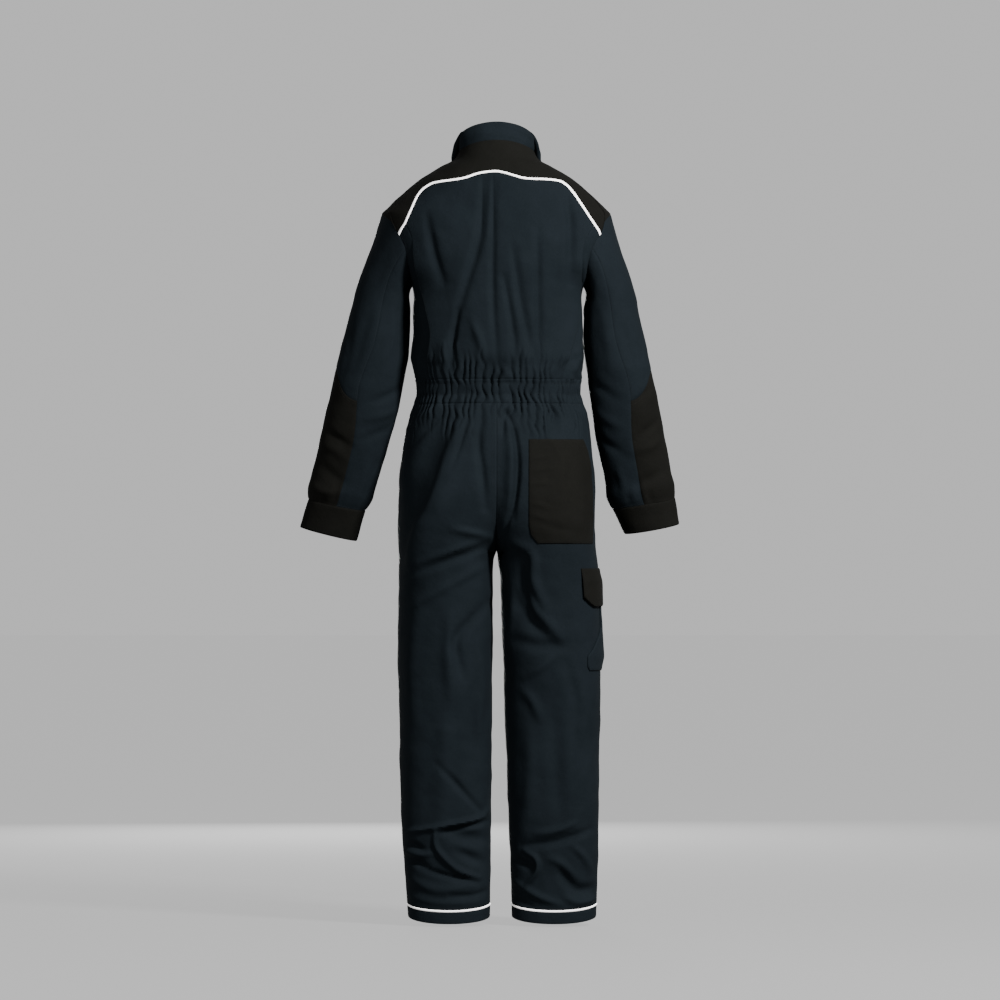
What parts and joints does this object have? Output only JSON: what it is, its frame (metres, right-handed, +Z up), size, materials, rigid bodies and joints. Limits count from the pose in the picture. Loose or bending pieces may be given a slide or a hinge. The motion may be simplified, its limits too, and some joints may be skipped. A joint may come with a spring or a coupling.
{
  "type": "boiler suit",
  "caption": "Navy and black work boiler suit, filled out as worn and empty, with stand collar, white piping, gathered back waist, zip front, back pocket and thigh pocket.",
  "frame": {"origin": "midway between the two points where the shoulders meet the collar, in the plane of the side seams, where the wearer's neck and shoulders hold the suit up", "axes": "+Z up, +Y towards the back, +X towards the wearer's left; the front with its zip faces -Y"},
  "size_m": [0.7619, 0.2823, 1.579],
  "materials": {
    "navy_twill": "matte twill",
    "black_twill": "matte twill",
    "white_piping": "satin",
    "zip_metal": "satin"
  },
  "bodies": {
    "suit": {"yoke": "black_twill", "collar": "navy_twill", "yoke_piping_back": "white_piping", "yoke_piping_front_left": "white_piping", "yoke_piping_front_right": "white_piping", "back_panel": "navy_twill", "side_back_left": "navy_twill", "side_back_right": "navy_twill", "front_left": "navy_twill", "front_right": "navy_twill", "waistband_back": "navy_twill", "leg_back_left": "navy_twill", "leg_front_left": "navy_twill", "leg_back_right": "navy_twill", "leg_front_right": "navy_twill", "hem_piping_left": "white_piping", "hem_band_left": "navy_twill", "hem_piping_right": "white_piping", "hem_band_right": "navy_twill", "back_pocket": "black_twill", "cargo_pocket": "navy_twill", "cargo_flap": "black_twill", "sleeve_upper_left": "navy_twill", "sleeve_patch_left": "black_twill", "sleeve_under_left": "navy_twill", "sleeve_upper_right": "navy_twill", "sleeve_patch_right": "black_twill", "sleeve_under_right": "navy_twill", "cuff_left": "black_twill", "cuff_right": "black_twill", "zip_chain": "zip_metal", "zip_slider": "zip_metal"},
    "pull": {"zip_pull": "zip_metal"}
  },
  "joints": [
    {"name": "pull_tab_hinge", "type": "hinge", "parent": "suit", "child": "pull", "pos_m": [0, -0.07672, -0.02035], "axis": [-1, 0, 0], "range_deg": [0, 150]}
  ]
}
